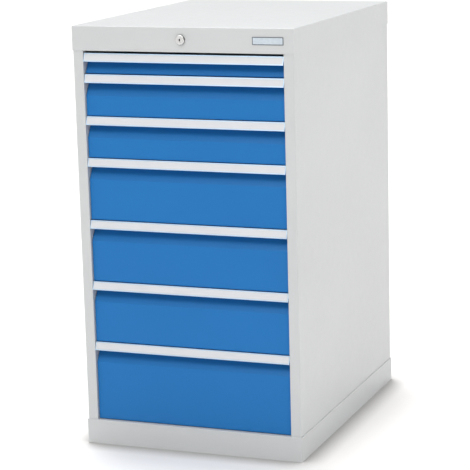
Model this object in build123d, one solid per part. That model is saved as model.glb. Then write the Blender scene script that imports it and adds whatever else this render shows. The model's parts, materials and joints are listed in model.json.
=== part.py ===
"""Floor-standing steel workshop cabinet with seven full-extension drawers and a central lock.

Millimetres. X is to the right seen from the front, Y to the back and Z up. The origin is under
the middle of the whole cabinet, on the floor. Every piece is written as a STEP file of its own.
"""
import os
from math import cos, hypot, radians, sin

from build123d import *

# Housing
base_width = 555.0
base_depth = 736.0
base_height = 60.0
base_sheet = 2.5
base_flange = 25.0
wall_sheet = 1.5
post_width = 25.0
post_return = 25.5
rear_flange = 25.0
rear_sheet = 1.2
floor_sheet = 1.5
floor_flange = 20.0
cover_sheet = 1.5
cover_height = 58.0
cover_lip = 12.0
bend_radius = 2.0
small_bend = 0.8

# Drawer modules from the top down, counted in steps, and the play above the stack in the opening
module_step = 50.0
module_steps = [1, 2, 2, 3, 3, 3, 4]
opening_play = 1.0

# Drawer fronts
front_sheet = 1.2
front_recess = 7.5
front_side_gap = 1.2
front_gap = 1.2
front_bend = 1.5
grip_rise = 32.0
grip_back = 19.0

# Handle strips and their label cards
handle_height = 19.3
handle_lean = 7.0
handle_proud = 2.5
handle_drop = 5.0
handle_wall = 2.2
handle_web = 2.0
handle_lip = 2.3
handle_clip = 9.0
handle_clip_sheet = 1.5
handle_clip_play = 0.1
handle_side_gap = 1.0
groove_depth = 0.8
card_thickness = 0.4
card_end_gap = 2.0
card_play = 0.1

# Drawer boxes
box_length = 600.0
box_sheet = 1.0
box_rim = 6.0
box_floor_gap = 6.0
box_top_gap = 9.0

# Slides: runners on the drawer, middle members with rollers, rails on the housing
rail_sheet = 1.2
rail_foot_gap = 7.3
rail_head_gap = 14.3
rail_start = 6.0
rail_overrun = 60.0
slide_web = 2.0
slide_web_gap = 2.0
slide_side_gap = 1.0
slide_rear_gap = 20.0
roller_width = 9.0
roller_gap = 0.3
roller_end_gap = 0.8
roller_margin = 13.0
roller_pin_radius = 3.0
roller_pin_head = 0.5
opening_slide_gap = 2.0

# Uprights with their slots, and the hooks of the rails in them
upright_width = 30.0
upright_sheet = 1.5
upright_inset = 30.0
upright_top_gap = 8.0
slots_per_step = 2
slot_width = 12.0
slot_height = 5.0
hook_play = 0.5
hook_length = 3.0

# Lock
lock_rise = 29.0
rosette_radius = 11.0
rosette_height = 6.0
rosette_chamfer = 1.2
barrel_radius = 8.0
barrel_play = 0.1
plug_radius = 5.5
plug_play = 0.05
plug_proud = 0.5
keyhole_width = 3.0
keyhole_height = 6.0
keyhole_depth = 4.0
key_turn = 90.0
cam_arm = 8.0
cam_sheet = 2.5
cam_pin_radius = 2.0
cam_pin_play = 0.6
cam_gap = 1.0

# Link bar and locking bar
link_gap = 4.0
link_sheet = 3.0
link_height = 14.0
link_margin = 5.5
link_left_end = -18.0
link_stud_places = [70.0, 190.0]
bar_sheet = 3.0
bar_width = 16.0
bar_gap = 2.0
bar_foot = 95.0
bar_pin_radius = 2.5
bar_stud_drawers = [1, 4, 6]
bar_stud_rise = 42.0
stud_radius = 2.5
stud_head_radius = 4.5
stud_head = 1.5
stud_play = 0.3
wall_clearance = 0.5
tab_gap = 2.8
tab_sheet = 3.0
tab_reach = 3.5
tab_inset = 2.0

# Front top rail
top_rail_set_back = 12.0
top_rail_sheet = 1.5
top_rail_foot = 9.0
top_rail_head = 50.0
top_rail_end_gap = 1.0

# Small plate on the fascia, bare
plate_width = 75.0
plate_height = 18.0
plate_thickness = 1.2
plate_frame = 1.5
plate_recess = 0.3
plate_from_edge = 25.5

# Rivets on the rear flanges
rivet_radius = 4.5
rivet_height = 1.8
rivet_dome = 1.2
rivet_count = 6
rivet_end_gap = 60.0

# Widths from the middle, worked out from the outside in
wall_outside = base_width / 2 - base_sheet
wall_inside = wall_outside - wall_sheet
cover_outside = wall_outside + cover_sheet
opening_half = wall_outside - post_width
roller_outer = opening_half - opening_slide_gap
rail_web_inside = roller_outer + roller_end_gap
rail_outside = rail_web_inside + rail_sheet
slide_web_outer = roller_outer - roller_width
slide_web_inner = slide_web_outer - slide_web
roller_inner = slide_web_inner - roller_width
runner_web_outer = roller_inner - roller_end_gap
box_outside = runner_web_outer - rail_sheet
box_inside = box_outside - box_sheet

# Depths: the lock stands further forward than the plinth, and the origin is under the middle
lock_beyond_base = rosette_height + plug_proud - (base_sheet - cover_sheet)
base_front = -(base_depth - lock_beyond_base) / 2
base_back = base_front + base_depth
wall_front = base_front + base_sheet
wall_back = base_back - base_sheet
cover_front = wall_front - cover_sheet
cover_back = wall_back + cover_sheet
post_back = wall_front + post_return
face_front = wall_front + front_recess
box_front = face_front + grip_back * (grip_rise + handle_height - handle_web) / grip_rise
box_front_inside = box_front + box_sheet
box_back_inside = box_front_inside + box_length
box_back = box_back_inside + box_sheet

# Heights
module_heights = [steps * module_step for steps in module_steps]
slot_pitch = module_step / slots_per_step
floor_top = base_height
opening_top = base_height + opening_play + sum(module_heights)
total_height = opening_top + cover_height
wall_top = total_height - cover_sheet
lock_height = opening_top + lock_rise

# Slides, which fit the lowest module
travel = box_length
rail_front = box_front + rail_start
rail_back = rail_front + box_length + rail_overrun
slide_back = rail_back - slide_rear_gap
rail_height = module_step - rail_foot_gap - rail_head_gap
rail_half_height = rail_height / 2
rail_rise = rail_foot_gap + rail_half_height
rail_inner_half = rail_half_height - rail_sheet
slide_web_height = 2 * (rail_inner_half - slide_web_gap)
roller_radius = rail_inner_half - roller_gap

# Lock train: a quarter turn of the cam pin moves the link sideways and lifts the bar as far
stroke = 2 * cam_arm * sin(radians(key_turn / 2))
link_front = post_back + link_gap
link_back = link_front + link_sheet
cam_back = link_front - cam_gap
cam_front = cam_back - cam_sheet
bar_front = link_back + bar_gap
link_bottom = lock_height - cam_arm - cam_pin_radius - link_margin
bar_pin_slot_half = bar_pin_radius + stud_play
bar_pin_x = wall_inside - wall_clearance - stroke - link_margin
bar_pin_z = link_bottom + link_margin


def block(x_span, y_span, z_span):
    """Box between two values along each axis."""
    size = [high - low for low, high in (x_span, y_span, z_span)]
    middle = [(high + low) / 2 for low, high in (x_span, y_span, z_span)]
    return Pos(*middle) * Box(*size)


def bar_along_x(outline, low, high):
    """Bar whose section is an outline of (y, z) points."""
    plane = Plane((low, 0, 0), x_dir=(0, 1, 0), z_dir=(1, 0, 0))
    return extrude(plane * make_face(Polyline(*outline, close=True)), amount=high - low)


def bar_along_y(outline, low, high):
    """Bar whose section is an outline of (x, z) points."""
    plane = Plane((0, high, 0), x_dir=(1, 0, 0), z_dir=(0, -1, 0))
    return extrude(plane * make_face(Polyline(*outline, close=True)), amount=high - low)


def rod_along_x(radius, low, high, y, z):
    """Round rod along X."""
    return Pos((low + high) / 2, y, z) * Rot(0, 90, 0) * Cylinder(radius, high - low)


def rod_along_y(radius, low, high, x, z):
    """Round rod along Y."""
    return Pos(x, (low + high) / 2, z) * Rot(90, 0, 0) * Cylinder(radius, high - low)


def on_the_left(shape):
    """The same piece on the other side of the cabinet."""
    return mirror(shape, about=Plane.YZ)


def module_bottom(index):
    """Height of the lower line of a drawer's module, counted from the top."""
    return base_height + sum(module_heights[index + 1:])


def handle_top(index):
    """Height of the top of a drawer's handle strip."""
    return module_bottom(index) + module_heights[index] - handle_drop


def rail_middle(index):
    """Height of the middle of a drawer's slides."""
    return module_bottom(index) + rail_rise


def channel(web_inside, open_towards, depth, height_middle):
    """Outline of a U-shaped rail section, as (x, z) points."""
    web_outside = web_inside - open_towards * rail_sheet
    tip = web_inside + open_towards * depth
    outer = rail_half_height
    inner = rail_inner_half
    points = [(web_outside, -outer), (tip, -outer), (tip, -inner), (web_inside, -inner),
              (web_inside, inner), (tip, inner), (tip, outer), (web_outside, outer)]
    return [(x, height_middle + z) for x, z in points]


def base_plinth():
    """Plinth ring with a flange inwards at the floor."""
    half = base_width / 2
    ring = block((-half, half), (base_front, base_back), (0, base_height))
    ring = fillet(ring.edges().filter_by(Axis.Z), bend_radius)
    ring = fillet(ring.edges().group_by(Axis.Z)[-1], small_bend)
    inside = block((-wall_outside, wall_outside), (wall_front, wall_back), (base_sheet, base_height))
    flange_half = wall_outside - base_flange
    hole = block((-flange_half, flange_half), (wall_front + base_flange, wall_back - base_flange),
                 (0, base_sheet))
    return ring - inside - hole


def floor_pan():
    """Floor sheet with its edges folded down inside the plinth."""
    below = floor_top - floor_sheet
    pan = block((-wall_outside, wall_outside), (wall_front, wall_back), (below - floor_flange, floor_top))
    inner = wall_outside - floor_sheet
    hollow = block((-inner, inner), (wall_front + floor_sheet, wall_back - floor_sheet),
                   (below - floor_flange, below))
    return pan - hollow


def side_wall():
    """Right side wall, folded into the front post and a rear flange."""
    outline = [
        (opening_half, wall_front),
        (wall_outside, wall_front),
        (wall_outside, wall_back),
        (wall_outside - rear_flange, wall_back),
        (wall_outside - rear_flange, wall_back - wall_sheet),
        (wall_inside, wall_back - wall_sheet),
        (wall_inside, wall_front + wall_sheet),
        (opening_half + wall_sheet, wall_front + wall_sheet),
        (opening_half + wall_sheet, post_back),
        (opening_half, post_back),
    ]
    section = make_face(Polyline(*outline, close=True))
    bends = section.vertices().filter_by(lambda v: v.X > wall_inside + small_bend)
    section = fillet(bends, bend_radius)
    post_bend = section.vertices().sort_by_distance(Vector(opening_half, wall_front, 0))[0]
    section = fillet(post_bend, small_bend)
    return extrude(Pos(0, 0, floor_top) * section, amount=wall_top - floor_top)


def stud(height):
    """Headed stud on the right side wall, which guides the locking bar."""
    bar_inner = bar_pin_x - bar_sheet / 2
    y = bar_front + bar_width / 2
    shank = rod_along_x(stud_radius, bar_inner - stud_play, wall_inside, y, height)
    head_end = bar_inner - stud_play
    head = rod_along_x(stud_head_radius, head_end - stud_head, head_end, y, height)
    return shank + head


def bar_stud_heights():
    """Heights of the locking bar's studs, each one between the tabs of two drawers."""
    return [rail_middle(index) + bar_stud_rise for index in bar_stud_drawers]


def right_side_wall():
    """Right side wall, and on its inside the welded studs of the locking bar, each a solid of its own."""
    return Compound(children=[side_wall()] + [stud(height) for height in bar_stud_heights()])


def rear_wall():
    """Flat rear sheet, inside the rear flanges of the side walls."""
    outer = wall_back - wall_sheet
    return block((-wall_inside, wall_inside), (outer - rear_sheet, outer), (floor_top, wall_top))


def rear_rivets():
    """Rivet heads that hold the rear sheet to both flanges."""
    x = wall_outside - rear_flange / 2
    low = floor_top + rivet_end_gap
    spacing = (opening_top - rivet_end_gap - low) / (rivet_count - 1)
    heads = []
    for side in (-1, 1):
        for step in range(rivet_count):
            height = low + step * spacing
            head = rod_along_y(rivet_radius, wall_back, wall_back + rivet_height, side * x, height)
            head = fillet(head.edges().group_by(Axis.Y)[-1], rivet_dome)
            heads.append(head)
    return Compound(children=heads)


def cover_envelope():
    """Outer shape of the whole cover, with its bent edges."""
    cover = block((-cover_outside, cover_outside), (cover_front, cover_back), (opening_top, total_height))
    cover = fillet(cover.edges().filter_by(Axis.Z), bend_radius)
    return fillet(cover.edges().group_by(Axis.Z)[-1], bend_radius)


def top_cover():
    """Flat top sheet, which lies on the walls and runs flush into the rim all round."""
    space = block((-cover_outside, cover_outside), (cover_front, cover_back), (wall_top, total_height))
    return cover_envelope() & space


def cover_rim():
    """Rim under the top sheet's edge, outside the walls; its front is the fascia with the lock's hole."""
    space = block((-cover_outside, cover_outside), (cover_front, cover_back), (opening_top, wall_top))
    rim = cover_envelope() & space
    rim -= block((-wall_outside, wall_outside), (wall_front, wall_back), (opening_top, wall_top))
    rim += block((-opening_half, opening_half), (wall_front, wall_front + cover_lip),
                 (opening_top, opening_top + cover_sheet))
    return rim - rod_along_y(barrel_radius + barrel_play, cover_front, wall_front, 0, lock_height)


def front_top_rail():
    """Channel between the posts behind the fascia; it holds the lock and guides the link bar."""
    front = wall_front + top_rail_set_back
    back = post_back - top_rail_end_gap
    low = opening_top + top_rail_foot
    high = opening_top + top_rail_head
    outline = [(front, low), (back, low), (back, low + top_rail_sheet),
               (front + top_rail_sheet, low + top_rail_sheet),
               (front + top_rail_sheet, high - top_rail_sheet),
               (back, high - top_rail_sheet), (back, high), (front, high)]
    rail = bar_along_x(outline, -opening_half, opening_half)
    rail -= rod_along_y(barrel_radius + barrel_play, front, front + top_rail_sheet, 0, lock_height)
    stud_z = link_bottom + link_height / 2
    shank_end = link_back + stud_play
    for x in link_stud_places:
        rail += rod_along_y(stud_radius, front + top_rail_sheet, shank_end, x, stud_z)
        rail += rod_along_y(stud_head_radius, shank_end, shank_end + stud_head, x, stud_z)
    return rail


def upright_fronts():
    """Front edges, along the depth, of the front and the rear upright."""
    return [rail_front + upright_inset, rail_back - upright_inset - upright_width]


def slot_heights(top):
    """Heights of the slots of an upright, one for each step of the module grid."""
    first = base_height + rail_rise
    count = int((top - slot_height - first) / slot_pitch)
    return [first + step * slot_pitch for step in range(count + 1)]


def uprights():
    """Front and rear slotted upright on each side wall."""
    top = opening_top - upright_top_gap
    posts = []
    for front in upright_fronts():
        back = front + upright_width
        post = block((rail_outside, wall_inside), (front, back), (floor_top, top))
        post -= block((rail_outside + upright_sheet, wall_inside),
                      (front + upright_sheet, back - upright_sheet), (floor_top, top))
        middle = front + upright_width / 2
        slots = [
            block((rail_outside, rail_outside + upright_sheet),
                  (middle - slot_width / 2, middle + slot_width / 2),
                  (height - slot_height / 2, height + slot_height / 2))
            for height in slot_heights(top)
        ]
        post -= slots
        posts += [post, on_the_left(post)]
    return Compound(children=posts)


def cabinet_rails():
    """Rails of the right side, one to each drawer, hooked into the uprights."""
    depth = rail_web_inside - slide_web_outer - slide_side_gap
    half_width = slot_width / 2 - hook_play
    half_height = slot_height / 2 - hook_play
    rails = []
    for index in range(len(module_heights)):
        middle = rail_middle(index)
        rail = bar_along_y(channel(rail_web_inside, -1, depth, middle), rail_front, rail_back)
        for front in upright_fronts():
            place = front + upright_width / 2
            rail += block((rail_outside, rail_outside + hook_length),
                          (place - half_width, place + half_width),
                          (middle - half_height, middle + half_height))
        rails.append(rail)
    return Compound(children=rails)


def slide_member(index):
    """Middle member of the right slide: a flat web with two rollers on each side of it."""
    middle = rail_middle(index)
    half = slide_web_height / 2
    web_span = (slide_web_inner, slide_web_outer)
    member = block(web_span, (rail_front, slide_back), (middle - half, middle + half))
    end_place = roller_radius + small_bend
    outer_places = [slide_back - end_place, rail_front + travel / 2 + roller_radius + roller_margin]
    inner_places = [rail_front + end_place, box_back - travel / 2 - roller_radius - roller_margin]
    for y in outer_places:
        member += rod_along_x(roller_radius, slide_web_outer, roller_outer, y, middle)
        member += rod_along_x(roller_pin_radius, roller_outer, roller_outer + roller_pin_head, y, middle)
    for y in inner_places:
        member += rod_along_x(roller_radius, roller_inner, slide_web_inner, y, middle)
        member += rod_along_x(roller_pin_radius, roller_inner - roller_pin_head, roller_inner, y, middle)
    return member


def drawer_runner(index):
    """Runner on the right side of a drawer box."""
    depth = slide_web_inner - slide_side_gap - runner_web_outer
    outline = channel(runner_web_outer, 1, depth, rail_middle(index))
    return bar_along_y(outline, rail_front, box_back)


def drawer_box(index):
    """Open steel tray with rims folded outwards on its sides and back."""
    low = module_bottom(index) + box_floor_gap
    side_top = module_bottom(index) + module_heights[index] - box_top_gap
    front_top = handle_top(index) - handle_web
    tray = block((-box_outside, box_outside), (box_front, box_back), (low, side_top))
    tray -= block((-box_inside, box_inside), (box_front_inside, box_back_inside), (low + box_sheet, side_top))
    tray += block((-box_outside, box_outside), (box_front, box_front_inside), (low, front_top))
    rim_span = (side_top - box_sheet, side_top)
    for side in (-1, 1):
        edges = sorted((side * box_outside, side * (box_outside + box_rim)))
        tray += block(edges, (rail_front, box_back), rim_span)
    return tray + block((-box_outside, box_outside), (box_back, box_back + box_rim), rim_span)


def grip_outline(index, inset):
    """Section of a drawer front, vertical and then sloping back to the top, drawn in by inset."""
    top = handle_top(index) - handle_web
    crease = handle_top(index) - handle_height - grip_rise
    slope = grip_rise / grip_back
    shift = inset * hypot(grip_rise, grip_back) / grip_back
    foot = min(module_bottom(index), crease) - base_height
    front = face_front + inset
    bend = crease + inset * slope - shift
    return [(box_front, foot), (front, foot), (front, bend), (box_front, top - shift)]


def drawer_front(index):
    """Blue drawer front: a folded sheet with closed ends and a flange forwards to the handle strip."""
    half = opening_half - front_side_gap
    top = handle_top(index)
    low = max(module_bottom(index) - handle_drop, base_height) + front_gap
    space = block((-half, half), (wall_front, box_front), (low, top))
    panel = bar_along_x(grip_outline(index, 0.0), -half, half) & space
    bends = panel.edges().filter_by(Axis.X).filter_by(lambda edge: edge.center().Y < box_front - bend_radius)
    panel = fillet(bends, front_bend)
    inner = half - front_sheet
    room = block((-inner, inner), (wall_front, box_front), (low + front_sheet, top))
    panel -= bar_along_x(grip_outline(index, front_sheet), -inner, inner) & room
    flange_top = top - handle_web
    return panel + block((-half, half), (strip_back(index, flange_top), box_front),
                         (flange_top - front_sheet, flange_top))


def strip_point(index, along, behind):
    """Point (y, z) of a leaning handle strip, along its face from the bottom and behind the face."""
    length = hypot(handle_lean, handle_height)
    up_y, up_z = handle_lean / length, handle_height / length
    bottom_y = wall_front - handle_proud
    bottom_z = handle_top(index) - handle_height
    return (bottom_y + along * up_y + behind * up_z, bottom_z + along * up_z - behind * up_y)


def strip_back(index, height):
    """Depth of the back of a leaning handle strip at a height."""
    back, foot = strip_point(index, 0, handle_wall)
    return back + (height - foot) * handle_lean / handle_height


def handle_strip(index):
    """Full-width handle: a leaning strip with two lips, and a clip over the flange of the front."""
    length = hypot(handle_lean, handle_height)
    top = handle_top(index)
    flange_top = top - handle_web
    flange_front = strip_back(index, flange_top)
    clip_top = flange_top - front_sheet - handle_clip_play
    clip_bottom = clip_top - handle_clip_sheet
    clip_back = flange_front + handle_clip
    outline = [
        strip_point(index, 0, 0),
        strip_point(index, handle_lip, 0),
        strip_point(index, handle_lip, groove_depth),
        strip_point(index, length - handle_lip, groove_depth),
        strip_point(index, length - handle_lip, 0),
        strip_point(index, length, 0),
        (clip_back, top),
        (clip_back, flange_top),
        (flange_front, flange_top),
        (flange_front, clip_top),
        (clip_back, clip_top),
        (clip_back, clip_bottom),
        (strip_back(index, clip_bottom), clip_bottom),
        strip_point(index, 0, handle_wall),
    ]
    half = opening_half - handle_side_gap
    return bar_along_x(outline, -half, half)


def label_card(index):
    """Label card between the lips of a handle strip."""
    length = hypot(handle_lean, handle_height)
    low = handle_lip + card_play
    high = length - handle_lip - card_play
    front = groove_depth - card_thickness
    outline = [strip_point(index, low, front), strip_point(index, high, front),
               strip_point(index, high, groove_depth), strip_point(index, low, groove_depth)]
    half = opening_half - handle_side_gap - card_end_gap
    return bar_along_x(outline, -half, half)


def lock_housing():
    """Lock barrel through the fascia and the top rail, with its round rosette in front."""
    rosette_front = cover_front - rosette_height
    rosette = rod_along_y(rosette_radius, rosette_front, cover_front, 0, lock_height)
    rosette = chamfer(rosette.edges().group_by(Axis.Y)[0], rosette_chamfer)
    barrel = rod_along_y(barrel_radius, cover_front, cam_front - cam_gap, 0, lock_height)
    bore = rod_along_y(plug_radius + plug_play, rosette_front, cam_front, 0, lock_height)
    return rosette + barrel - bore


def lock_plug():
    """Round plug that the key turns, with a keyhole in its face."""
    front = cover_front - rosette_height - plug_proud
    plug = rod_along_y(plug_radius, front, cam_front, 0, lock_height)
    half = keyhole_width / 2
    keyhole = block((-half, half), (front, front + keyhole_depth),
                    (lock_height - keyhole_height / 2, lock_height + keyhole_height / 2))
    return plug - keyhole


def cam_pin_place():
    """Place (x, z) of the cam pin with the lock open."""
    angle = radians(key_turn / 2)
    return (cam_arm * sin(angle), lock_height - cam_arm * cos(angle))


def lock_cam():
    """Cam plate on the back of the plug, with the pin that drives the link bar."""
    pin_x, pin_z = cam_pin_place()
    hub = rod_along_y(plug_radius, cam_front, cam_back, 0, lock_height)
    arm_angle = 90 - key_turn / 2
    arm_half = plug_radius - small_bend
    arm = Pos(0, (cam_front + cam_back) / 2, lock_height) * Rot(0, arm_angle, 0) * \
        Pos(cam_arm / 2, 0, 0) * Box(cam_arm, cam_back - cam_front, 2 * arm_half)
    tip = rod_along_y(arm_half, cam_front, cam_back, pin_x, pin_z)
    pin = rod_along_y(cam_pin_radius, cam_back, link_back, pin_x, pin_z)
    return hub + arm + tip + pin


def slot_along(start, end, half_width, low, high):
    """Round-ended slot cutter along Y, from one (x, z) place to another."""
    length = hypot(end[0] - start[0], end[1] - start[1])
    across = ((end[1] - start[1]) / length * half_width, -(end[0] - start[0]) / length * half_width)
    sides = [(start[0] + across[0], start[1] + across[1]), (end[0] + across[0], end[1] + across[1]),
             (end[0] - across[0], end[1] - across[1]), (start[0] - across[0], start[1] - across[1])]
    cutter = bar_along_y(sides, low, high)
    for x, z in (start, end):
        cutter += rod_along_y(half_width, low, high, x, z)
    return cutter


def lock_link():
    """Flat link bar: it slides to the left and its slanted slot lifts the locking bar."""
    right_end = bar_pin_x + stroke + link_margin
    thickness = (link_front, link_back)
    link = block((link_left_end, right_end), thickness, (link_bottom, link_bottom + link_height))
    link += block((bar_pin_x - link_margin, right_end), thickness,
                  (link_bottom, bar_pin_z + stroke + link_margin))
    pin_x, pin_z = cam_pin_place()
    lowest = lock_height - cam_arm
    link -= slot_along((pin_x, lowest - cam_pin_play), (pin_x, pin_z + cam_pin_play),
                       cam_pin_radius + cam_pin_play, link_front, link_back)
    link -= slot_along((bar_pin_x, bar_pin_z), (bar_pin_x + stroke, bar_pin_z + stroke),
                       bar_pin_slot_half, link_front, link_back)
    stud_z = link_bottom + link_height / 2
    for x in link_stud_places:
        link -= slot_along((x, stud_z), (x + stroke, stud_z), stud_radius + stud_play, link_front, link_back)
    return link


def locking_bar():
    """Upright locking bar with one tab to each drawer and the pin that the link lifts."""
    inner = bar_pin_x - bar_sheet / 2
    outer = bar_pin_x + bar_sheet / 2
    top = bar_pin_z + link_margin
    bar = block((inner, outer), (bar_front, bar_front + bar_width), (bar_foot, top))
    middle = bar_front + bar_width / 2
    half = stud_radius + stud_play
    for height in bar_stud_heights():
        bar -= block((inner, outer), (middle - half, middle + half), (height - stroke, height))
        bar -= rod_along_x(half, inner, outer, middle, height)
        bar -= rod_along_x(half, inner, outer, middle, height - stroke)
    for index in range(len(module_heights)):
        low = rail_middle(index) + rail_half_height + tab_gap
        bar += block((inner - tab_reach, inner), (bar_front + tab_inset, bar_front + bar_width - tab_inset),
                     (low, low + tab_sheet))
    bar += block((bar_pin_x - link_margin, bar_pin_x + link_margin), (bar_front, bar_front + bar_sheet),
                 (bar_pin_z - link_margin, top))
    return bar + rod_along_y(bar_pin_radius, link_front - cam_gap, bar_front, bar_pin_x, bar_pin_z)


def badge_plate():
    """Small bare plate with a raised frame near the right end of the fascia."""
    right = cover_outside - plate_from_edge
    left = right - plate_width
    low = lock_height - plate_height / 2
    high = lock_height + plate_height / 2
    front = cover_front - plate_thickness
    plate = block((left, right), (front, cover_front), (low, high))
    return plate - block((left + plate_frame, right - plate_frame), (front, front + plate_recess),
                         (low + plate_frame, high - plate_frame))


def pair(right_piece):
    """A piece of the right side together with its left twin."""
    return Compound(children=[right_piece, on_the_left(right_piece)])


def all_pieces():
    """Every piece of the cabinet with its name."""
    right_rails = cabinet_rails()
    pieces = {
        "base_plinth": base_plinth(),
        "floor_pan": floor_pan(),
        "left_side_wall": on_the_left(side_wall()),
        "right_side_wall": right_side_wall(),
        "rear_wall": rear_wall(),
        "rear_rivets": rear_rivets(),
        "top_cover": top_cover(),
        "cover_rim": cover_rim(),
        "front_top_rail": front_top_rail(),
        "uprights": uprights(),
        "right_cabinet_rails": right_rails,
        "left_cabinet_rails": on_the_left(right_rails),
        "badge_plate": badge_plate(),
        "lock_housing": lock_housing(),
        "lock_plug": lock_plug(),
        "lock_cam": lock_cam(),
        "lock_link": lock_link(),
        "locking_bar": locking_bar(),
    }
    for index in range(len(module_heights)):
        drawer = f"drawer_{index + 1}_"
        pieces[drawer + "box"] = drawer_box(index)
        pieces[drawer + "front"] = drawer_front(index)
        pieces[drawer + "handle"] = handle_strip(index)
        pieces[drawer + "label"] = label_card(index)
        pieces[drawer + "runners"] = pair(drawer_runner(index))
        pieces[drawer + "slide_members"] = pair(slide_member(index))
    return pieces


os.makedirs("parts", exist_ok=True)
for name, shape in all_pieces().items():
    export_step(shape, f"parts/{name}.step")
print(f"total height {total_height:.1f}, stroke {stroke:.3f}, box inside {2 * box_inside:.1f}")
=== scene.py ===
"""Looks of the steel drawer cabinet: paint, metal, card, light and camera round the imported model."""
import json
import math

import bmesh
import bpy
from mathutils import Matrix, Vector


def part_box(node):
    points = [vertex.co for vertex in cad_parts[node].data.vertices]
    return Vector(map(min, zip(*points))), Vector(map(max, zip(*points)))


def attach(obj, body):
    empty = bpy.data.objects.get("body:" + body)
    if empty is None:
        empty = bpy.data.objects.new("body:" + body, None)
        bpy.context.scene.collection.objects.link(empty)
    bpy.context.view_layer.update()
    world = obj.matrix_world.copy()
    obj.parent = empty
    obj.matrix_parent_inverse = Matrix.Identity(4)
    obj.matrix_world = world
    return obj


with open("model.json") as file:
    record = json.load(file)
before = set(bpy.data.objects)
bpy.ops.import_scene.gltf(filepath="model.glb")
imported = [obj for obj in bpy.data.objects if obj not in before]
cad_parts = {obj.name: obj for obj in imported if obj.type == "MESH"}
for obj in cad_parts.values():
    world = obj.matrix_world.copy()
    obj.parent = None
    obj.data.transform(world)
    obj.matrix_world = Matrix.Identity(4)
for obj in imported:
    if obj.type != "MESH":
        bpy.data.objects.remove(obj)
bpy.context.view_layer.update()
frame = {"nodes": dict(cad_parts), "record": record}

# Camera, solved from the cabinet's edges in the photograph: metres, and degrees of turn
CAMERA_PLACE = (1.6933, -4.3617, 1.4266)
CAMERA_TILT = 78.238
CAMERA_HEADING = 20.223
CAMERA_ROLL = -1.248
CAMERA_REACH = 100.0

# Photograph, in its own pixels: its sides, the focal length and the centre that the camera is given
PHOTO_SIZE = 470.0
FOCAL_PIXELS = 1888.7
CENTRE_X = 275.0
CENTRE_Y = 236.7
SENSOR_MILLIMETRES = 36.0

# Soft dome, brightest high up: pairs of the sine of the elevation and the share of light there
DOME = [(0.0, 0.20), (0.3, 0.05), (0.6, 0.25), (0.85, 1.0), (1.0, 0.30)]
DOME_STRENGTH = 2.07

# Even light from above, which shines from its place towards the origin
OVERHEAD_PLACE = (-0.65, 1.0, 6.0)
OVERHEAD_STRENGTH = 1.70
OVERHEAD_ANGLE = 16.0

# Softboxes: metres, watts, and degrees of spread
SOFTBOXES = {
    "front_box": {
        "place": (-0.15, -3.3, 3.5), "aim": (0.05, -0.37, 0.6),
        "size": (2.0, 1.2), "power": 13.8, "spread": 100.0,
    },
    "right_box": {
        "place": (2.5, 0.2, 1.5), "aim": (0.28, 0.0, 1.1),
        "size": (1.6, 0.8), "power": 2.4, "spread": 80.0,
    },
}

ORIGIN = (0.0, 0.0, 0.0)
FLOOR_SIZE = 40.0

# Colours, linear
GREY_PAINT = (0.592, 0.604, 0.609)
BLUE_PAINT = (0.0175, 0.173, 0.475)
INNER_PAINT = (0.50, 0.51, 0.51)
ZINC = (0.66, 0.68, 0.71)
HANDLE_METAL = (0.65, 0.83, 1.0)
CARD = (0.703, 0.714, 0.735)
NICKEL = (0.80, 0.80, 0.79)
# Painted shade: the lock rosette's side wall is coloured near-black where shade falls
ROSETTE_SIDE_PAINTED_SHADE = (0.10, 0.10, 0.10)
# Painted shade: the keyway below the plug's face is coloured near-black where shade falls
KEYWAY_PAINTED_SHADE = (0.01, 0.01, 0.01)
PLATE_FRAME = (0.10, 0.12, 0.14)
PLATE_FACE = (0.57, 0.64, 0.70)
FLOOR = (0.81, 0.80, 0.79)
WHITE = (1.0, 1.0, 1.0, 1.0)

# Span that most values of a noise lie in
NOISE_SPAN = (0.3, 0.7)

# Floor's painted contact shadow: how near a thing has to be to darken it, how open a wall's foot is,
# and the tone of the painted shadow left there
CONTACT_REACH = 0.06
FOOT_OPENNESS = 0.5
CONTACT_PAINTED_SHADOW_TONE = 0.45

# Handle: how deep the light strip goes, in front of its blue web
STRIP_DEPTH = 0.0087

# Lock: how deep its bright face and chamfer go before the painted shade on the rosette's side, and how
# deep the plug's face goes before the painted shade in its keyway
LOCK_FACE_DEPTH = 0.0013
KEYWAY_FACE_DEPTH = 0.0006

# Bare inlay in the small plate's recess
PLATE_BORDER = 0.0015
PLATE_RECESS = 0.0003
INLAY_PLAY = 0.00005
INLAY_RADIUS = 0.0006
INLAY_BEVEL = 0.0001
INLAY_CORNER_STEPS = 6


def shade(colour, factor):
    """A colour made lighter or darker."""
    return tuple(min(1.0, channel * factor) for channel in colour)


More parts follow.
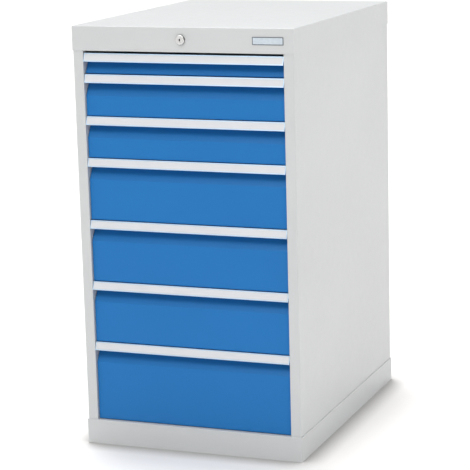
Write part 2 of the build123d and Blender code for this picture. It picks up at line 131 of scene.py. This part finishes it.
class Nodes:
    """A material's node tree, with short calls for the nodes that the finishes share."""

    def __init__(self, name):
        self.material = bpy.data.materials.new(name)
        self.material.use_nodes = True
        self.tree = self.material.node_tree
        self.shader = self.tree.nodes["Principled BSDF"]
        self.place = self.tree.nodes.new("ShaderNodeTexCoord").outputs["Object"]

    def stretched(self, scale):
        """Object coordinates scaled along each axis."""
        mapping = self.tree.nodes.new("ShaderNodeMapping")
        mapping.inputs["Scale"].default_value = scale
        self.tree.links.new(self.place, mapping.inputs["Vector"])
        return mapping.outputs["Vector"]

    def noise(self, scale, detail, rough=0.55, vector=None):
        """Noise value with features about one over scale metres wide."""
        node = self.tree.nodes.new("ShaderNodeTexNoise")
        node.inputs["Scale"].default_value = scale
        node.inputs["Detail"].default_value = detail
        node.inputs["Roughness"].default_value = rough
        self.tree.links.new(vector or self.place, node.inputs["Vector"])
        return node.outputs["Fac"]

    def grain(self, scale, detail, rough):
        """Noise drawn out along one axis, with its own scale along each."""
        return self.noise(scale=1.0, detail=detail, rough=rough, vector=self.stretched(scale))

    def ranged(self, value, low, high, span=NOISE_SPAN):
        """Maps a span of a value to the range from low to high."""
        node = self.tree.nodes.new("ShaderNodeMapRange")
        node.inputs["From Min"].default_value = span[0]
        node.inputs["From Max"].default_value = span[1]
        node.inputs["To Min"].default_value = low
        node.inputs["To Max"].default_value = high
        self.tree.links.new(value, node.inputs["Value"])
        return node.outputs["Result"]

    def mixed(self, factor, first, second):
        """Colour between two, by a factor."""
        node = self.tree.nodes.new("ShaderNodeMix")
        node.data_type = "RGBA"
        self.tree.links.new(factor, node.inputs["Factor"])
        for name, colour in (("A", first), ("B", second)):
            if isinstance(colour, tuple):
                node.inputs[name].default_value = (*colour, 1.0)
            else:
                self.tree.links.new(colour, node.inputs[name])
        return node.outputs["Result"]

    def clouded(self, colour, scale, detail, darkest, lightest):
        """A colour in soft clouds, from a darker tone to a lighter one."""
        clouds = self.ranged(self.noise(scale, detail), low=0.0, high=1.0)
        return self.mixed(clouds, shade(colour, darkest), shade(colour, lightest))

    def beyond(self, axis, limit):
        """One where the place along an axis is past a limit, and zero before it."""
        parts = self.tree.nodes.new("ShaderNodeSeparateXYZ")
        test = self.tree.nodes.new("ShaderNodeMath")
        test.operation = "GREATER_THAN"
        test.inputs[1].default_value = limit
        self.tree.links.new(self.place, parts.inputs["Vector"])
        self.tree.links.new(parts.outputs[axis], test.inputs[0])
        return test.outputs["Value"]

    def openness(self, reach):
        """One where nothing is near, falling to a half at the foot of a wall."""
        node = self.tree.nodes.new("ShaderNodeAmbientOcclusion")
        node.inputs["Distance"].default_value = reach
        return node.outputs["AO"]

    def direct_view(self):
        """One for what is seen directly, and zero for light that goes on to other things."""
        return self.tree.nodes.new("ShaderNodeLightPath").outputs["Is Camera Ray"]

    def added(self, first, second):
        """Sum of two values."""
        node = self.tree.nodes.new("ShaderNodeMath")
        node.operation = "ADD"
        self.tree.links.new(first, node.inputs[0])
        self.tree.links.new(second, node.inputs[1])
        return node.outputs["Value"]

    def bump(self, height, strength, distance):
        """Fine relief on the shader's normal."""
        node = self.tree.nodes.new("ShaderNodeBump")
        node.inputs["Strength"].default_value = strength
        node.inputs["Distance"].default_value = distance
        self.tree.links.new(height, node.inputs["Height"])
        self.tree.links.new(node.outputs["Normal"], self.shader.inputs["Normal"])

    def colour(self, output):
        """Feeds the shader's base colour."""
        self.tree.links.new(output, self.shader.inputs["Base Color"])

    def roughness(self, output):
        """Feeds the shader's roughness."""
        self.tree.links.new(output, self.shader.inputs["Roughness"])

    def fixed(self, **values):
        """Sets constant sockets, named with underscores for spaces."""
        for name, value in values.items():
            self.shader.inputs[name.replace("_", " ")].default_value = value


def powder_coat(name, colour, gloss=0.5, coat=0.08):
    """Satin powder coat: fine orange peel, faint clouds of tone and of gloss."""
    nodes = Nodes(name)
    nodes.colour(nodes.clouded(colour, scale=3.1, detail=4.0, darkest=0.98, lightest=1.02))
    nodes.roughness(nodes.ranged(nodes.noise(scale=47.0, detail=5.0), low=0.36, high=0.46))
    peel = nodes.added(nodes.noise(scale=620.0, detail=1.5), nodes.noise(scale=1900.0, detail=1.0))
    nodes.bump(peel, strength=0.10, distance=0.0004)
    nodes.fixed(Specular_IOR_Level=gloss, Coat_Weight=coat, Coat_Roughness=0.30)
    return nodes.material


def zinc_plate(name):
    """Bright zinc plate: cloudy tone, faint rolling marks along the depth."""
    nodes = Nodes(name)
    nodes.colour(nodes.clouded(ZINC, scale=38.0, detail=6.0, darkest=0.90, lightest=1.06))
    rolled = nodes.grain(scale=(900.0, 12.0, 900.0), detail=4.0, rough=0.6)
    nodes.roughness(nodes.ranged(rolled, low=0.26, high=0.44))
    nodes.bump(rolled, strength=0.06, distance=0.0002)
    nodes.fixed(Metallic=1.0)
    return nodes.material


def satin_aluminium(name):
    """Satin lacquered extrusion, with fine draw lines along its length; its web and clip are blue."""
    nodes = Nodes(name)
    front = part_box("drawer_1_handle")[0].y
    metal = nodes.clouded(HANDLE_METAL, scale=9.0, detail=3.0, darkest=0.98, lightest=1.01)
    nodes.colour(nodes.mixed(nodes.beyond("Y", front + STRIP_DEPTH), metal, BLUE_PAINT))
    drawn = nodes.grain(scale=(5.0, 1500.0, 1500.0), detail=5.0, rough=0.6)
    nodes.roughness(nodes.ranged(drawn, low=0.30, high=0.42))
    nodes.bump(drawn, strength=0.05, distance=0.0002)
    nodes.fixed(Metallic=0.35)
    return nodes.material


def label_paper(name):
    """Paper strip under a clear film."""
    nodes = Nodes(name)
    nodes.colour(nodes.clouded(CARD, scale=14.0, detail=3.0, darkest=0.975, lightest=1.02))
    fibres = nodes.grain(scale=(260.0, 900.0, 900.0), detail=6.0, rough=0.65)
    nodes.roughness(nodes.ranged(fibres, low=0.50, high=0.66))
    nodes.bump(fibres, strength=0.05, distance=0.0002)
    nodes.fixed(Coat_Weight=0.5, Coat_Roughness=0.18)
    return nodes.material


def satin_nickel_with_painted_shade(name, node, face_depth, painted_shade):
    """Satin nickel of a lock node, with fine turned marks, and painted shade, a deep tone, behind its
    face.
    """
    nodes = Nodes(name)
    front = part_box(node)[0].y
    bright = nodes.clouded(NICKEL, scale=210.0, detail=3.0, darkest=0.94, lightest=1.05)
    # Painted shade: past the face's depth the colour turns to the dark tone
    nodes.colour(nodes.mixed(nodes.beyond("Y", front + face_depth), bright, painted_shade))
    marks = nodes.noise(scale=700.0, detail=3.0)
    nodes.roughness(nodes.ranged(marks, low=0.24, high=0.38))
    nodes.bump(marks, strength=0.04, distance=0.0001)
    nodes.fixed(Metallic=1.0)
    return nodes.material


def plate_plastic(name, colour):
    """Smooth moulded plastic of the small plate."""
    nodes = Nodes(name)
    nodes.colour(nodes.clouded(colour, scale=90.0, detail=3.0, darkest=0.96, lightest=1.03))
    nodes.roughness(nodes.ranged(nodes.noise(scale=300.0, detail=4.0), low=0.22, high=0.34))
    nodes.bump(nodes.noise(scale=1200.0, detail=2.0), strength=0.03, distance=0.0002)
    return nodes.material


def floor_with_painted_contact_shadow(name):
    """Pale matt floor with a painted contact shadow, darker where something stands close to it in what
    the camera sees directly; it reflects evenly.
    """
    nodes = Nodes(name)
    openness = nodes.ranged(nodes.openness(CONTACT_REACH), low=0.0, high=1.0, span=(FOOT_OPENNESS, 1.0))
    # Painted contact shadow: darker colour where the occlusion node finds something near, seen only by
    # the camera
    painted_contact_shadow = nodes.mixed(openness, shade(FLOOR, CONTACT_PAINTED_SHADOW_TONE), FLOOR)
    nodes.colour(nodes.mixed(nodes.direct_view(), FLOOR, painted_contact_shadow))
    nodes.roughness(nodes.ranged(nodes.noise(scale=25.0, detail=2.0), low=0.75, high=0.85))
    return nodes.material


def dress_nodes():
    """Gives every CAD node the finish of its material slot, and the lock's nodes their own, with
    painted shade on the rosette's side and in the keyway.
    """
    finishes = {
        "grey_paint": powder_coat("grey_paint", GREY_PAINT),
        "blue_paint": powder_coat("blue_paint", BLUE_PAINT, gloss=0.15, coat=0.0),
        "inner_grey_paint": powder_coat("inner_grey_paint", INNER_PAINT),
        "zinc_plated_steel": zinc_plate("zinc_plated_steel"),
        "handle_aluminium": satin_aluminium("handle_aluminium"),
        "label_card": label_paper("label_card"),
        "plate": plate_plastic("plate_frame", PLATE_FRAME),
    }
    lock_finishes_with_painted_shade = {
        "lock_housing": satin_nickel_with_painted_shade("lock_nickel", "lock_housing", LOCK_FACE_DEPTH, ROSETTE_SIDE_PAINTED_SHADE),
        "lock_plug": satin_nickel_with_painted_shade("plug_nickel_and_painted_shade", "lock_plug", KEYWAY_FACE_DEPTH, KEYWAY_PAINTED_SHADE),
    }
    for part in frame["record"]["subparts"]:
        piece = frame["nodes"][part["node"]]
        finish = lock_finishes_with_painted_shade.get(part["node"]) or finishes[part["material_slot"]]
        for slot in piece.material_slots:
            slot.material = finish


def rounded_outline(low, high, radius, inset):
    """Rectangle with rounded corners as (x, z) points, drawn in by inset."""
    points = []
    centres = [(high.x - radius, high.z - radius), (low.x + radius, high.z - radius),
               (low.x + radius, low.z + radius), (high.x - radius, low.z + radius)]
    for quarter, (centre_x, centre_z) in enumerate(centres):
        for step in range(INLAY_CORNER_STEPS + 1):
            angle = math.radians(90 * (quarter + step / INLAY_CORNER_STEPS))
            points.append((centre_x + (radius - inset) * math.cos(angle),
                           centre_z + (radius - inset) * math.sin(angle)))
    return points


def ringed_solid(name, rings):
    """Closed mesh through rings of points, with a flat end at the first and the last."""
    mesh = bmesh.new()
    made = [[mesh.verts.new(point) for point in ring] for ring in rings]
    for near, far in zip(made, made[1:]):
        for here in range(len(near)):
            there = (here + 1) % len(near)
            mesh.faces.new((near[here], near[there], far[there], far[here]))
    mesh.faces.new(made[0])
    mesh.faces.new(made[-1])
    bmesh.ops.recalc_face_normals(mesh, faces=mesh.faces)
    data = bpy.data.meshes.new(name)
    mesh.to_mesh(data)
    mesh.free()
    piece = bpy.data.objects.new(name, data)
    bpy.context.collection.objects.link(piece)
    return piece


def plate_inlay():
    """Bare pale inlay in the recess of the small plate."""
    plate_low, plate_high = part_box("badge_plate")
    border = Vector((PLATE_BORDER + INLAY_PLAY, 0.0, PLATE_BORDER + INLAY_PLAY))
    low = plate_low + border
    high = plate_high - border
    back = plate_low.y + PLATE_RECESS
    front = plate_low.y + INLAY_PLAY
    full = rounded_outline(low, high, INLAY_RADIUS, 0.0)
    inner = rounded_outline(low, high, INLAY_RADIUS, INLAY_BEVEL)
    rings = [[(x, back, z) for x, z in full],
             [(x, front + INLAY_BEVEL, z) for x, z in full],
             [(x, front, z) for x, z in inner]]
    piece = ringed_solid("plate_inlay", rings)
    piece.data.materials.append(plate_plastic("plate_face", PLATE_FACE))
    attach(piece, "housing")


def aimed(name, data, place, aim):
    """Adds a lamp that points at a place."""
    lamp = bpy.data.objects.new(name, data)
    lamp.location = place
    lamp.rotation_euler = (Vector(aim) - Vector(place)).to_track_quat("-Z", "Y").to_euler()
    bpy.context.collection.objects.link(lamp)


def softbox(name, place, aim, size, power, spread):
    """Large soft light whose beam thins towards its edges."""
    data = bpy.data.lights.new(name, "AREA")
    data.shape = "RECTANGLE"
    data.size, data.size_y = size
    data.energy = power
    data.spread = math.radians(spread)
    aimed(name, data, place, aim)


def overhead(name, place, aim, strength, angle):
    """Even light from above, with soft edges to its shadows."""
    data = bpy.data.lights.new(name, "SUN")
    data.energy = strength
    data.angle = math.radians(angle)
    aimed(name, data, place, aim)


def dome():
    """World light that changes with elevation only; the camera sees it as plain white."""
    world = bpy.data.worlds.new("studio")
    world.use_nodes = True
    tree = world.node_tree
    direction = tree.nodes.new("ShaderNodeTexCoord")
    parts = tree.nodes.new("ShaderNodeSeparateXYZ")
    ramp = tree.nodes.new("ShaderNodeValToRGB")
    path = tree.nodes.new("ShaderNodeLightPath")
    backdrop = tree.nodes.new("ShaderNodeMix")
    backdrop.data_type = "RGBA"
    backdrop.inputs["B"].default_value = WHITE
    while len(ramp.color_ramp.elements) < len(DOME):
        ramp.color_ramp.elements.new(1.0)
    for stop, (height, share) in zip(ramp.color_ramp.elements, DOME):
        stop.position = height
        stop.color = (share, share, share, 1.0)
    tree.links.new(direction.outputs["Generated"], parts.inputs["Vector"])
    tree.links.new(parts.outputs["Z"], ramp.inputs["Fac"])
    tree.links.new(ramp.outputs["Color"], backdrop.inputs["A"])
    tree.links.new(path.outputs["Is Camera Ray"], backdrop.inputs["Factor"])
    tree.links.new(backdrop.outputs["Result"], tree.nodes["Background"].inputs["Color"])
    tree.nodes["Background"].inputs["Strength"].default_value = DOME_STRENGTH
    return world


def studio():
    """Pale floor under a soft dome, with an even light from above and two softboxes."""
    bpy.context.scene.world = dome()
    bpy.context.scene.view_settings.view_transform = "Standard"
    overhead("overhead", OVERHEAD_PLACE, ORIGIN, OVERHEAD_STRENGTH, OVERHEAD_ANGLE)
    for name, settings in SOFTBOXES.items():
        softbox(name, **settings)
    bpy.ops.mesh.primitive_plane_add(size=FLOOR_SIZE, location=ORIGIN)
    floor = bpy.context.active_object
    floor.name = "floor"
    floor.data.materials.append(floor_with_painted_contact_shadow("floor"))


def camera():
    """Camera at the photograph's viewpoint, with a small shift for the cabinet's place in the frame."""
    data = bpy.data.cameras.new("camera")
    data.sensor_width = SENSOR_MILLIMETRES
    data.lens = FOCAL_PIXELS / PHOTO_SIZE * SENSOR_MILLIMETRES
    data.shift_x = (PHOTO_SIZE / 2 - CENTRE_X) / PHOTO_SIZE
    data.shift_y = (CENTRE_Y - PHOTO_SIZE / 2) / PHOTO_SIZE
    data.clip_end = CAMERA_REACH
    view = bpy.data.objects.new("camera", data)
    turn = (Matrix.Rotation(math.radians(CAMERA_HEADING), 4, "Z")
            @ Matrix.Rotation(math.radians(CAMERA_TILT), 4, "X")
            @ Matrix.Rotation(math.radians(CAMERA_ROLL), 4, "Z"))
    view.matrix_world = Matrix.Translation(CAMERA_PLACE) @ turn
    bpy.context.collection.objects.link(view)
    bpy.context.scene.camera = view


dress_nodes()
plate_inlay()
studio()
camera()
